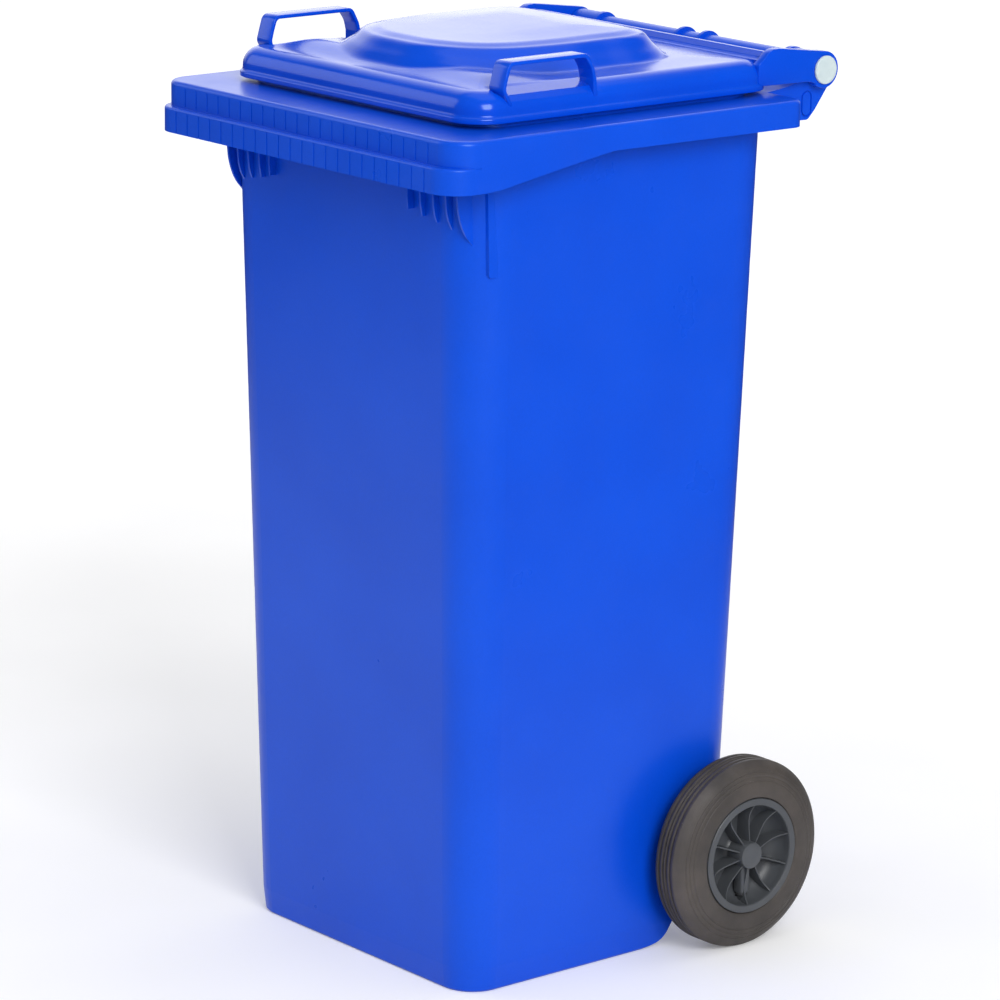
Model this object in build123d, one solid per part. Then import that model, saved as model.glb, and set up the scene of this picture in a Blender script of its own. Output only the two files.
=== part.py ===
from build123d import *
import math
import os

# Two-wheeled mobile waste bin, 120 litre class, with a comb front for lifting.
# Millimetres.  +X to the bin's own left-hand side when looking at its front
# from behind, +Y to the rear (hinge side), +Z up.  Origin: middle of the
# bounding box, on the ground.  Depth stations below are measured from the
# comb's front face and turned into row coordinates by fy().

# ---------------------------------------------------------------- dimensions
WIDTH = 480.0            # over the rim and comb
DEPTH = 544.0            # comb front to the back of the hinge eyes
GROUND = 0.0

TUB_HALF_BOTTOM = 182.0  # tub half width at the ground, before the foot's taper
TUB_HALF_TOP = 204.0     # tub half width just under the rim shelf
TUB_FRONT_BOTTOM = 79.8
TUB_FRONT_TOP = 57.0
TUB_REAR_BOTTOM = 431.0
TUB_REAR_TOP = 457.0
TUB_R_BOTTOM = 38.4
TUB_R_TOP = 50.0
TUB_TOP_Z = 884.0
WALL = 4.0
FLOOR = 5.0
FOOT_BAND = 26.0         # height of the tapered foot
FOOT_INSET = 2.2         # how far the foot tapers in at the ground

RIM_TOP = 885.0
RIM_STEP = 859.5         # ledge between the two comb bands
RIM_BOTTOM = 834.0       # lower edge of the comb
RIM_SETBACK = 8.3        # upper band behind the lower band
RIM_REAR = 460.7
RIM_WALL = 3.2
RIM_R_FRONT = 29.8
RIM_R_REAR = 18.0
SHELF = 3.2
GROOVE_PITCH_LOW = 19.05
GROOVE_PITCH_UP = 18.62
GROOVE_W = 1.8
GROOVE_D = 0.6

MOUTH_HALF = 186.0
MOUTH_FRONT = 79.0
MOUTH_REAR = 440.0
MOUTH_R = 38.0
LIP_T = 4.0
LIP_TOP = 893.0

FIN_X = [111.1, 129.7, 148.9, 167.4, 184.7]
# free edge of each fin below the comb, from the top down: (depth station, z)
FIN_EDGE = [
    [(50.2, 842), (50.3, 818), (50.7, 808), (51.5, 799.2)],
    [(51.4, 842), (51.5, 818), (52.4, 806), (54.5, 794.5)],
    [(52.0, 842), (52.1, 818), (53.4, 804), (55.0, 797), (57.4, 790.7)],
    [(52.7, 842), (52.8, 819), (54.2, 804), (56.6, 795.0), (61.4, 785.9)],
    [(53.0, 842), (53.1, 820), (54.4, 807), (56.8, 797.5), (60.2, 788.5), (64.8, 780.6), (73.3, 771.0)],
]
FIN_T = 2.4
CORNER_RIB_X = 198.5     # outer face of the block that thickens each front corner
CORNER_RIB_LOW = 740.0

HINGE_Y = 525.0
HINGE_Z = 903.5
BAR_R = 14.0
BAR_HALF = 184.0
COLLAR_R = 18.0
EYE_R = 19.0

LID_BEAD_HALF = 200.0
LID_HALF = 197.6
LID_FRONT = 62.0
LID_REAR = 458.0
LID_R = 37.0
LID_BOTTOM = 890.0
LID_BEAD_H = 6.0
LID_FLAT = 920.0
LID_SHOULDER = 19.0
LID_T = 3.0
DOME_TOP = 952.0
ARM_IN = 186.0
ARM_OUT = 195.6
LID_HANDLE_X0 = 175.0
LID_HANDLE_X1 = 197.0
LID_HANDLE_T = 3.8
LID_HANDLE_TOP = 948.6

PIN_R = 8.0
PIN_CAP_R = 14.6
PIN_CAP_X0 = 196.0
PIN_CAP_X1 = 199.2
FIT = 0.06               # running clearance on radius
BORE_R = PIN_R + FIT

AXLE_R = 10.0
AXLE_HALF = 238.0
AXLE_Y = 410.0
AXLE_Z = 100.0
GROOVE_FLOOR_R = 7.0
LATCH_X = 228.0

WHEEL_R = 100.0
WHEEL_IN = 193.0
WHEEL_OUT = 243.0
RING_R = 61.0
RING_IN_R = 53.5
SEAT_R = 57.0
HUB_R = 14.0
DISH_X = 217.0
SPOKES = 10
SPOKE_PHASE = 87.0
SPOKE_T = 2.0
LATCH_TRAVEL = 3.6


# ------------------------------------------------------------------- helpers
def fy(y):
    """Depth station behind the comb's front face to row Y."""
    return y - DEPTH / 2.0


def profile(corners):
    """Closed face in local XY from (u, v, corner radius) corners."""
    n = len(corners)
    ins, outs = [], []
    for i in range(n):
        u, v, r = corners[i]
        pu, pv, _ = corners[i - 1]
        nu, nv, _ = corners[(i + 1) % n]
        a = (pu - u, pv - v)
        b = (nu - u, nv - v)
        la, lb = math.hypot(*a), math.hypot(*b)
        a = (a[0] / la, a[1] / la)
        b = (b[0] / lb, b[1] / lb)
        if r <= 0:
            ins.append((u, v))
            outs.append(None)
            continue
        half = math.acos(max(-1, min(1, a[0] * b[0] + a[1] * b[1]))) / 2.0
        t = r / math.tan(half)
        p0 = (u + a[0] * t, v + a[1] * t)
        p1 = (u + b[0] * t, v + b[1] * t)
        bis = (a[0] + b[0], a[1] + b[1])
        lbis = math.hypot(*bis)
        dist = r / math.sin(half) - r
        mid = (u + bis[0] / lbis * dist, v + bis[1] / lbis * dist)
        ins.append((p0, mid, p1))
        outs.append(True)
    edges = []
    first = None
    last = None
    for i in range(n):
        if outs[i] is None:
            start = end = ins[i]
        else:
            start, end = ins[i][0], ins[i][2]
        if last is not None and math.hypot(start[0] - last[0], start[1] - last[1]) > 1e-4:
            edges.append(Line(last, start))
        if outs[i] is not None:
            edges.append(ThreePointArc(ins[i][0], ins[i][1], ins[i][2]))
        if first is None:
            first = start
        last = end
    if math.hypot(first[0] - last[0], first[1] - last[1]) > 1e-4:
        edges.append(Line(last, first))
    return make_face(edges)


def plan(x0, x1, y0, y1, rf, rr, z0, z1):
    """Upright block with rounded plan corners: rf at the front, rr at the rear."""
    f = profile([(x0, fy(y0), rf), (x1, fy(y0), rf), (x1, fy(y1), rr), (x0, fy(y1), rr)])
    return extrude(Pos(0, 0, z0) * f, amount=z1 - z0, dir=(0, 0, 1))


def side(corners, x0, x1):
    """Prism along X from (depth station, z, radius) corners."""
    f = profile([(fy(y), z, r) for y, z, r in corners])
    return extrude(Plane.YZ.offset(x0) * f, amount=x1 - x0, dir=(1, 0, 0))


def rod(r, x0, x1, y, z):
    """Cylinder along X."""
    c = Plane.YZ.offset(x0) * (Pos(fy(y), z) * Circle(r))
    return extrude(c, amount=x1 - x0, dir=(1, 0, 0))


def lathe(points, y, z):
    """Solid of revolution about an X-parallel axis from (x, radius) points."""
    f = make_face(Polyline(*[(x, r) for x, r in points], close=True))
    s = revolve(f, Axis.X, 360)
    return Pos(0, fy(y), z) * s


def mirror_x(s):
    return mirror(s, about=Plane.YZ)


def tub_half(z):
    return TUB_HALF_BOTTOM + (TUB_HALF_TOP - TUB_HALF_BOTTOM) * z / TUB_TOP_Z


def tub_front(z):
    return TUB_FRONT_BOTTOM + (TUB_FRONT_TOP - TUB_FRONT_BOTTOM) * z / TUB_TOP_Z


def tub_rear(z):
    return TUB_REAR_BOTTOM + (TUB_REAR_TOP - TUB_REAR_BOTTOM) * z / TUB_TOP_Z


def tub_r(z):
    return TUB_R_BOTTOM + (TUB_R_TOP - TUB_R_BOTTOM) * z / TUB_TOP_Z


def tub_section(z, inset):
    h = tub_half(z) - inset
    f, b = fy(tub_front(z) + inset), fy(tub_rear(z) - inset)
    r = tub_r(z) - inset
    return Pos(0, 0, z) * profile([(-h, f, r), (h, f, r), (h, b, r), (-h, b, r)])


def tub_loft(z0, z1, inset0, inset1):
    return loft([tub_section(z0, inset0), tub_section(z1, inset1)], ruled=True)


# ---------------------------------------------------------------------- body
def make_body():
    """Tub, rim, comb, fins, axle bearings and rear handle: one moulding."""
    outer = tub_loft(FOOT_BAND, TUB_TOP_Z, 0, 0)
    outer += tub_loft(2.0, FOOT_BAND, FOOT_INSET * 0.92, 0)
    outer += tub_loft(0, 2.0, FOOT_INSET + 1.6, FOOT_INSET * 0.92)
    notch = side([(300, -30, 0), (316, 0, 0), (345, 5.5, 24), (361, 34, 30), (366, 138, 14),
                  (392, 166, 20), (480, 186, 0), (480, -30, 0)], -260, 260)
    outer -= notch

    inner = tub_loft(FLOOR, RIM_TOP - SHELF, WALL, WALL)
    notch_in = side([(300, -30, 0), (312, 4.5, 0), (342, 10, 24), (356.5, 37, 30), (361.5, 140, 18),
                     (389, 170.5, 24), (480, 191, 0), (480, -30, 0)], -260, 260)
    inner -= notch_in

    # rim and comb
    upper = plan(-WIDTH / 2, WIDTH / 2, RIM_SETBACK, RIM_REAR, RIM_R_FRONT, RIM_R_REAR, RIM_STEP - 0.5, RIM_TOP)
    upper = fillet(upper.faces().sort_by(Axis.Z)[-1].edges(), 4.5)
    lower = plan(-WIDTH / 2, WIDTH / 2, 0, RIM_REAR, RIM_R_FRONT, RIM_R_REAR, RIM_BOTTOM, RIM_STEP)
    behind = Pos(0, fy(38.1 + 250), 850) * Box(600, 500, 100)
    flank = lower & behind
    front_edges = lower.faces().sort_by(Axis.Z)[-1].edges().filter_by(lambda e: e.center().Y < fy(28))
    lower = (fillet(front_edges, 2.5) - behind) + flank
    rim = upper + lower
    h = WIDTH / 2 - RIM_WALL
    rim -= plan(-h, h, RIM_SETBACK + RIM_WALL, RIM_REAR - RIM_WALL, RIM_R_FRONT - RIM_WALL, RIM_R_REAR - RIM_WALL,
                RIM_BOTTOM - 20, RIM_TOP - SHELF)
    rim -= plan(-h, h, RIM_WALL, RIM_REAR - RIM_WALL, RIM_R_FRONT - RIM_WALL, RIM_R_REAR - RIM_WALL,
                RIM_BOTTOM - 20, RIM_STEP - RIM_WALL)
    rim -= side([(44, 834, 0), (64, 835.4, 20), (86, 839.4, 30), (150, 850.4, 0), (205, 859.0, 30), (480, 857.6, 0),
                 (480, 780, 0), (44, 780, 0)], -260, 260)
    grooves = []
    for i in range(22):
        x = -200 + GROOVE_PITCH_LOW * i
        grooves.append(Pos(x, fy(0), (RIM_BOTTOM + RIM_STEP) / 2 - 1.5)
                       * Box(GROOVE_W, 2 * GROOVE_D, RIM_STEP - RIM_BOTTOM - 2.0))
        x = -195.5 + GROOVE_PITCH_UP * i
        grooves.append(Pos(x, fy(RIM_SETBACK), (RIM_STEP + RIM_TOP) / 2 - 1.8)
                       * Box(GROOVE_W, 2 * GROOVE_D, RIM_TOP - RIM_STEP - 6.5))
    rim -= grooves

    body = outer + rim

    # mouth lip that the lid drops over
    lip = plan(-MOUTH_HALF - LIP_T, MOUTH_HALF + LIP_T, MOUTH_FRONT - LIP_T, MOUTH_REAR + LIP_T,
               MOUTH_R + LIP_T, MOUTH_R + LIP_T, RIM_TOP - SHELF, LIP_TOP)
    lip = fillet(lip.faces().sort_by(Axis.Z)[-1].edges(), 1.2)
    body += lip

    # stiffening fins under the comb and one thickened strip at each front corner
    fins = []
    for x, edge in zip(FIN_X, FIN_EDGE):
        for s in (-1, 1):
            back = 62 if x < 140 else (70 if x < 160 else 100)
            low = edge[-1][1]
            f = side([(edge[0][0], RIM_TOP - SHELF, 0)] + [(y, z, 40) for y, z in edge[:-1]]
                     + [(edge[-1][0], low, 0), (back, low, 0), (back, RIM_TOP - SHELF, 0)],
                     s * x - FIN_T / 2, s * x + FIN_T / 2)
            fins.append(f)
    for s in (-1, 1):
        x0, x1 = (182, CORNER_RIB_X) if s > 0 else (-CORNER_RIB_X, -182)
        fins.append(side([(83.4, CORNER_RIB_LOW + 2.5, 2), (80.0, 841, 0), (79.0, RIM_TOP - SHELF, 0),
                          (94, RIM_TOP - SHELF, 0), (94, CORNER_RIB_LOW, 0), (85.5, CORNER_RIB_LOW, 2)], x0, x1))
    body += fins

    # axle bearings: cheeks and ribs under the cut-away rear corner
    ribs = []
    for x0, x1 in ((-181, -166), (-118, -112), (-62, -56), (-3, 3), (56, 62), (112, 118), (166, 181)):
        r = side([(340, 24, 0), (398, 84, 8), (414, 84, 12), (428, 96, 12), (428, 176, 0), (340, 176, 0)], x0, x1)
        ribs.append(r)
    ribs = ribs[0] + ribs[1:]
    ribs &= tub_loft(0, TUB_TOP_Z, 0.6, 0.6)
    body += ribs

    # rear brackets and handle bar
    def bracket(x0, x1, skin, top_r):
        outline = [(456, 857, 0), (498, 852.0, 6), (514, 851.5, 6), (523.5, 861, 12), (541, 884, 6), (539, 904, 6),
                   (516, 906, 0), (508, 893, 10), (490, 889.2, 12), (474, 886.6, 12), (456, 884.9, 0)]
        b = side(outline, x0, x1)
        pocket = side([(450, 840, 0), (530, 840, 0), (517, 872, 4), (505, 886, 8), (484, 882.5, 20),
                       (450, 880.5, 0)], x0 + skin, x1 - skin)
        return b - pocket

    rear = rod(BAR_R, -BAR_HALF, BAR_HALF, HINGE_Y, HINGE_Z)
    rear += bracket(150, BAR_HALF, 4, 0)
    rear += bracket(-BAR_HALF, -150, 4, 0)
    rear += bracket(-17, 17, 4, 0)
    for x0, x1 in ((144, 150), (-150, -144), (-19.5, -15.5), (15.5, 19.5)):
        rear += rod(COLLAR_R, x0, x1, HINGE_Y, HINGE_Z)
    rear += rod(COLLAR_R - 1.0, 150, BAR_HALF, HINGE_Y, HINGE_Z)
    rear += rod(COLLAR_R - 1.0, -BAR_HALF, -150, HINGE_Y, HINGE_Z)
    # raised oval pad in an oval recess on each bracket's outer face
    for s in (-1, 1):
        xa = s * BAR_HALF
        ring = side([(504.4, 854.4, 7.2), (519.0, 854.4, 7.2), (519.0, 881.8, 7.2), (504.4, 881.8, 7.2)],
                    xa - 1.6, xa + 1.6)
        pad = side([(506.4, 856.4, 5.2), (517.0, 856.4, 5.2), (517.0, 879.8, 5.2), (506.4, 879.8, 5.2)],
                   xa - 3, xa + 3)
        rear -= (ring - pad)
    body += rear

    # cut the interior, the mouth and the bores
    body -= inner
    body -= plan(-MOUTH_HALF, MOUTH_HALF, MOUTH_FRONT, MOUTH_REAR, MOUTH_R, MOUTH_R, RIM_TOP - 30, LIP_TOP + 5)
    body -= rod(AXLE_R + FIT, -220, 220, AXLE_Y, AXLE_Z)
    for s in (-1, 1):
        x0, x1 = (150, 200) if s > 0 else (-200, -150)
        body -= rod(PIN_R + FIT, x0, x1, HINGE_Y, HINGE_Z)
    return body


# ----------------------------------------------------------------------- lid
def dome_section(z, grow):
    """Plan outline of the dome at a level; grow moves it outward."""
    g = grow
    return Pos(0, 0, z) * profile([(-86 - g, fy(146 - g), 34), (86 + g, fy(146 - g), 34),
                                   (122 + g, fy(372 + g), 30), (-122 - g, fy(372 + g), 30)])


def make_lid():
    """Domed lid with two pull handles and two hinge arms: one moulding."""
    shell = plan(-LID_HALF, LID_HALF, LID_FRONT + 2.4, LID_REAR - 2.4, LID_R - 2, LID_R - 2, LID_BOTTOM, LID_FLAT)
    shell = fillet(shell.faces().sort_by(Axis.Z)[-1].edges(), LID_SHOULDER)
    shell += plan(-LID_BEAD_HALF, LID_BEAD_HALF, LID_FRONT, LID_REAR, LID_R, LID_R, LID_BOTTOM,
                  LID_BOTTOM + LID_BEAD_H)
    dome = loft([dome_section(LID_FLAT - 4, 16), dome_section(DOME_TOP, -3)], ruled=True)
    dome = fillet(dome.faces().sort_by(Axis.Z)[-1].edges(), 9)
    shell += dome

    # underside follows the top at one wall thickness
    hollow = plan(-LID_HALF + LID_T, LID_HALF - LID_T, LID_FRONT + 2.4 + LID_T, LID_REAR - 2.4 - LID_T,
                  LID_R - 5, LID_R - 5, LID_BOTTOM - 5, LID_FLAT - LID_T)
    hollow = fillet(hollow.faces().sort_by(Axis.Z)[-1].edges(), LID_SHOULDER - LID_T)
    dome_in = loft([dome_section(LID_FLAT - 8, 15), dome_section(DOME_TOP - LID_T, -6)], ruled=True)
    dome_in = fillet(dome_in.faces().sort_by(Axis.Z)[-1].edges(), 6)
    hollow += dome_in

    # upstand across the rear, between the arms
    shell += side([(446, 905, 0), (462, 905, 0), (462, 921, 2), (458.5, 926.5, 2), (453.5, 926.5, 2), (450, 918, 0)],
                  -ARM_IN - 4, ARM_IN + 4)
    lid = shell - hollow

    # hinge arms, their eyes bored for the pins
    for s in (-1, 1):
        x0, x1 = (ARM_IN, ARM_OUT) if s > 0 else (-ARM_OUT, -ARM_IN)
        arm = side([(430, 893, 0), (462, 893.6, 0), (504, 893.2, 10), (514, 889.6, 0), (525, 884.6, 0),
                    (532, 921.3, 0), (525, 922.4, 0), (476, 928.8, 10), (458, 931.0, 5), (449, 929, 5),
                    (430, 918, 0)], x0, x1)
        arm += rod(EYE_R, x0, x1, HINGE_Y, HINGE_Z)
        arm -= rod(BORE_R, x0 - 5, x1 + 5, HINGE_Y, HINGE_Z)
        lid += arm

    # pull handles near the front corners
    for s in (-1, 1):
        x0, x1 = (LID_HANDLE_X0, LID_HANDLE_X1) if s > 0 else (-LID_HANDLE_X1, -LID_HANDLE_X0)
        t = LID_HANDLE_T
        top = LID_HANDLE_TOP
        strap = side([(108, 905, 0), (98.6, 921.5, 8), (101.6, 932, 20), (106.5, top, 9), (206.3, top, 9),
                      (214.8, 933, 20), (217.6, 923, 8), (219.5, 905, 0)], x0, x1)
        strap -= side([(112, 905, 0), (102.8, 921.8, 8), (105.4, 932, 16), (109.5, top - t, 6), (203.2, top - t, 6),
                       (211, 933, 16), (213.6, 923, 8), (214, 905, 0)], x0 - 1, x1 + 1)
        # the strap stops inside the lid's own wall, so nothing hangs below it
        keep = make_face(Polyline(*[(s * u, v) for u, v in (
            (LID_HANDLE_X0, 918.2), (181, 917.9), (187, 916.0), (191, 912.8), (193.2, 909.6),
            (195.4, 905.2), (LID_HANDLE_X1, 905.2), (LID_HANDLE_X1, top + 10),
            (LID_HANDLE_X0, top + 10))], close=True))
        keep = Pos(0, fy(240), 0) * extrude(Plane.XZ * keep, amount=160, dir=(0, -1, 0))
        lid += strap & keep

    # rest ribs inside the skirt, just above the mouth lip
    rest = []
    for y in (160, 300):
        for s in (-1, 1):
            x0, x1 = (184.0, 195.5) if s > 0 else (-195.5, -184.0)
            rest.append(side([(y - 1.5, LIP_TOP + 0.3, 0), (y + 1.5, LIP_TOP + 0.3, 0), (y + 1.5, 911, 0),
                              (y - 1.5, 911, 0)], x0, x1))
    for x in (-110, 110):
        rest.append(side([(66, LIP_TOP + 0.3, 0), (81, LIP_TOP + 0.3, 0), (81, 918, 0), (66, 905, 0)],
                         x - 1.5, x + 1.5))
    lid += rest
    return lid


# ---------------------------------------------------------------- hinge pins
def make_pin():
    """Headed hinge pin for the +X side."""
    p = lathe([(158.5, 0), (158.5, PIN_R - 1.2), (159.7, PIN_R), (PIN_CAP_X0, PIN_R), (PIN_CAP_X0, PIN_CAP_R),
               (PIN_CAP_X1 - 1.4, PIN_CAP_R), (PIN_CAP_X1 - 0.5, PIN_CAP_R - 0.7), (PIN_CAP_X1, PIN_CAP_R - 2.0),
               (PIN_CAP_X1, 0)], HINGE_Y, HINGE_Z)
    return p


# --------------------------------------------------------------------- axle
def make_axle():
    g0, g1 = LATCH_X - 3.6, LATCH_X + 3.6
    pts = [(-AXLE_HALF, 0), (-AXLE_HALF, AXLE_R - 1.5), (-AXLE_HALF + 1.5, AXLE_R), (-g1, AXLE_R),
           (-g1, GROOVE_FLOOR_R), (-g0, GROOVE_FLOOR_R), (-g0, AXLE_R), (g0, AXLE_R), (g0, GROOVE_FLOOR_R),
           (g1, GROOVE_FLOOR_R), (g1, AXLE_R), (AXLE_HALF - 1.5, AXLE_R), (AXLE_HALF, AXLE_R - 1.5), (AXLE_HALF, 0)]
    return lathe(pts, AXLE_Y, AXLE_Z)


# -------------------------------------------------------------------- wheels
def make_rim():
    """Plastic rim of the +X wheel: hub, dish, spoke blades, tyre seat and the
    radial latch housing, which points straight down at rest."""
    hub_in = 185.0
    r = lathe([(hub_in, AXLE_R + FIT), (hub_in, HUB_R), (DISH_X - 1.6, HUB_R + 1), (DISH_X - 1.6, 48),
               (WHEEL_IN + 3, 50.5), (WHEEL_IN, 53), (WHEEL_IN, RING_R), (WHEEL_IN + 3.5, RING_R),
               (WHEEL_IN + 3.5, SEAT_R), (WHEEL_OUT - 3.5, SEAT_R), (WHEEL_OUT - 3.5, RING_R), (WHEEL_OUT, RING_R),
               (WHEEL_OUT, RING_IN_R + 0.6), (WHEEL_OUT - 1.0, RING_IN_R), (DISH_X + 9, 49.5), (DISH_X + 3.5, 45),
               (DISH_X + 1.6, 38), (DISH_X + 1.6, HUB_R + 1.5), (DISH_X + 4, HUB_R), (WHEEL_OUT - 0.6, HUB_R),
               (WHEEL_OUT, HUB_R - 0.6), (WHEEL_OUT, 0), (AXLE_HALF + 0.8, 0), (AXLE_HALF + 0.8, AXLE_R + FIT)],
              AXLE_Y, AXLE_Z)
    blades = []
    for k in range(SPOKES):
        # thin blade standing on the dish from hub to ring, its free edge dipping between them
        f = make_face(Polyline((DISH_X, 12), (WHEEL_OUT - 5, 12), (WHEEL_OUT - 6.5, 24), (WHEEL_OUT - 8.5, 36),
                               (WHEEL_OUT - 7.0, 46), (WHEEL_OUT - 3.5, 52.5), (WHEEL_OUT - 3.5, 55.5),
                               (DISH_X, 55.5), close=True))
        b = extrude(f, amount=SPOKE_T / 2, both=True, dir=(0, 0, 1))
        back = make_face(Polyline((WHEEL_IN + 6, 12), (DISH_X, 12), (DISH_X, 52), (WHEEL_IN + 6, 51.5), close=True))
        b += extrude(back, amount=SPOKE_T / 2, both=True, dir=(0, 0, 1))
        # local +Y of the profile is radial; turn it to the blade's angle in YZ
        blades.append(Pos(0, fy(AXLE_Y), AXLE_Z) * Rot(SPOKE_PHASE - 360.0 / SPOKES * k, 0, 0) * b)
    bore = lathe([(180, 0), (180, AXLE_R + FIT), (AXLE_HALF + 0.8, AXLE_R + FIT), (AXLE_HALF + 0.8, 0)],
                 AXLE_Y, AXLE_Z)
    seat = lathe([(WHEEL_IN + 3.5, SEAT_R - 1.8), (WHEEL_IN + 3.5, 120), (WHEEL_OUT - 3.5, 120),
                  (WHEEL_OUT - 3.5, SEAT_R - 1.8)], AXLE_Y, AXLE_Z)
    r += blades
    r -= bore
    # latch housing
    base = Pos(LATCH_X, fy(AXLE_Y), AXLE_Z)
    house = base * Pos(0, 0, -27.5) * Box(13.4, 13.0, 31)
    house = fillet(house.edges().filter_by(Axis.Z), 3.0)
    foot = base * Pos(-6, 0, -27.5) * Box(12, 8, 31)
    r += house
    r += foot
    r -= bore
    r -= base * Pos(0, 0, -13.5) * Cylinder(3.0 + 0.08, 12)
    r -= base * Pos(0, 0, -15 - 20) * Cylinder(4.5 + 0.08, 40)
    r -= base * Pos(0, 0, -43 - 2.5) * Cylinder(6.6, 5)
    return r


def make_tyre():
    """Solid rubber tyre: grooved tread and bulging, finely ridged side walls."""
    a, b = WHEEL_IN, WHEEL_OUT
    seat = SEAT_R + 0.05
    ring = RING_R + 0.5
    c = (a + b) / 2.0
    half = [(21.45, seat), (21.45, ring - 0.45), (24.0, ring), (24.9, ring + 2.0), (24.9, 66), (24.6, 72), (24.0, 78),
            (23.3, 80.0), (23.5, 80.6), (22.9, 81.2), (22.6, 84.4), (22.8, 85.0), (22.1, 85.6), (21.7, 88.4),
            (21.9, 89.0), (21.0, 89.7), (19.0, 93.4), (16.4, 96.6), (13.2, 98.9), (12.6, 99.4),
            (10.6, WHEEL_R - 0.1), (9.4, WHEEL_R - 0.1), (8.8, 97.9), (7.0, 97.9), (6.4, WHEEL_R), (3.9, WHEEL_R),
            (3.3, 97.9), (0.9, 97.9)]
    pts = [(c + u, r) for u, r in half] + [(c - u, r) for u, r in reversed(half)]
    return lathe(pts, AXLE_Y, AXLE_Z)


def make_latch_pin():
    """Nose in the axle groove, collar guided by the housing bore."""
    base = Pos(LATCH_X, fy(AXLE_Y), AXLE_Z)
    p = base * Pos(0, 0, -(7.4 + 15.2) / 2) * Cylinder(3.0, 15.2 - 7.4)
    p += base * Pos(0, 0, -(15.2 + 18.4) / 2) * Cylinder(4.5, 3.2)
    p += base * Pos(0, 0, -(18.4 + 24.0) / 2) * Cylinder(1.7, 5.6)
    return p


def make_latch_spring():
    """Compression spring between the pin's collar and the plug."""
    wire_r = 0.45
    coil_r = 3.2
    z_top = AXLE_Z - 18.6 - wire_r
    z_bot = AXLE_Z - 35.2 + wire_r
    h = Helix(pitch=(z_top - z_bot) / 6.0, height=z_top - z_bot, radius=coil_r)
    start = h @ 0
    tangent = h % 0
    sec = Plane(origin=start, z_dir=tangent) * Circle(wire_r)
    s = sweep(sec, path=h)
    return Pos(LATCH_X, fy(AXLE_Y), z_bot) * s


def make_latch_plug():
    """Plug that closes the housing and backs the spring."""
    base = Pos(LATCH_X, fy(AXLE_Y), AXLE_Z)
    p = base * Pos(0, 0, -(35.4 + 43.05) / 2) * Cylinder(4.5, 43.05 - 35.4)
    p += base * Pos(0, 0, -(43.05 + 45.0) / 2) * Cylinder(6.0, 45.0 - 43.05)
    return p


# ---------------------------------------------------------------------- write
os.makedirs("parts", exist_ok=True)

right_pin = make_pin()
rim = make_rim()
tyre = make_tyre()
latch = make_latch_pin()
spring = make_latch_spring()
plug = make_latch_plug()

parts = {
    "body": make_body(),
    "lid": make_lid(),
    "hinge_pin_left": mirror_x(right_pin),
    "hinge_pin_right": right_pin,
    "axle": make_axle(),
    "wheel_rim_left": mirror_x(rim),
    "wheel_rim_right": rim,
    "tyre_left": mirror_x(tyre),
    "tyre_right": tyre,
    "latch_pin_left": mirror_x(latch),
    "latch_pin_right": latch,
    "latch_spring_left": mirror_x(spring),
    "latch_spring_right": spring,
    "latch_plug_left": mirror_x(plug),
    "latch_plug_right": plug,
}
for name, shape in parts.items():
    export_step(shape, f"parts/{name}.step")
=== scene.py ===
import math

import bmesh
import bpy
import numpy as np
from mathutils import Matrix, Vector


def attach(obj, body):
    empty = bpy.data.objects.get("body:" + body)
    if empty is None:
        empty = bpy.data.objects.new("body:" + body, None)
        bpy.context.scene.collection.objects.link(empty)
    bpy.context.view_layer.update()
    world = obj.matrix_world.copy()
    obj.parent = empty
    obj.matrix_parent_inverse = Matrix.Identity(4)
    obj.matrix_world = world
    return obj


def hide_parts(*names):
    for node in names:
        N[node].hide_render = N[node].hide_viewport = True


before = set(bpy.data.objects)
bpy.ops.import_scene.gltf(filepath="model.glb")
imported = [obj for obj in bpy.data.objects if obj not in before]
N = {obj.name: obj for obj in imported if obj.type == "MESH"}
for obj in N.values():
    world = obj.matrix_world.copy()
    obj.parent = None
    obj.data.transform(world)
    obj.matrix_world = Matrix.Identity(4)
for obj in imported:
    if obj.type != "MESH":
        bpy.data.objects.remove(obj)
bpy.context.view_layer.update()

DEPTH = 544.0      # comb front to hinge eyes, mm


def fy(y):
    return (y - DEPTH / 2.0) / 1000.0


def mm(v):
    return v / 1000.0


# ---------------------------------------------------------------- camera
def make_camera():
    az, el, roll = math.radians(50.105), math.radians(14.1576), math.radians(0.78995)
    dist = 4.830741
    target = Vector((0.055593, fy(220.409), 0.470419))
    back = Vector((math.sin(az) * math.cos(el), -math.cos(az) * math.cos(el), math.sin(el)))
    right = Vector((math.cos(az), math.sin(az), 0.0))
    up = back.cross(right)
    r2 = right * math.cos(roll) + up * math.sin(roll)
    u2 = -right * math.sin(roll) + up * math.cos(roll)
    cam = bpy.data.cameras.new("camera")
    cam.sensor_width = 36.0
    cam.lens = 4737.116 / 1000.0 * 36.0
    cam.shift_x = -0.00016
    cam.shift_y = -0.00009
    cam.clip_end = 100.0
    ob = bpy.data.objects.new("camera", cam)
    loc = target + back * dist
    ob.matrix_world = Matrix(((r2.x, u2.x, back.x, loc.x), (r2.y, u2.y, back.y, loc.y),
                              (r2.z, u2.z, back.z, loc.z), (0, 0, 0, 1)))
    bpy.context.scene.collection.objects.link(ob)
    bpy.context.scene.camera = ob


# ---------------------------------------------------------------- materials
def new_mat(name):
    m = bpy.data.materials.new(name)
    m.use_nodes = True
    nt = m.node_tree
    nt.nodes.clear()
    out = nt.nodes.new("ShaderNodeOutputMaterial")
    b = nt.nodes.new("ShaderNodeBsdfPrincipled")
    nt.links.new(b.outputs[0], out.inputs[0])
    return m, nt, b


def node(nt, kind, **kw):
    n = nt.nodes.new(kind)
    for k, v in kw.items():
        setattr(n, k, v)
    return n


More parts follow.
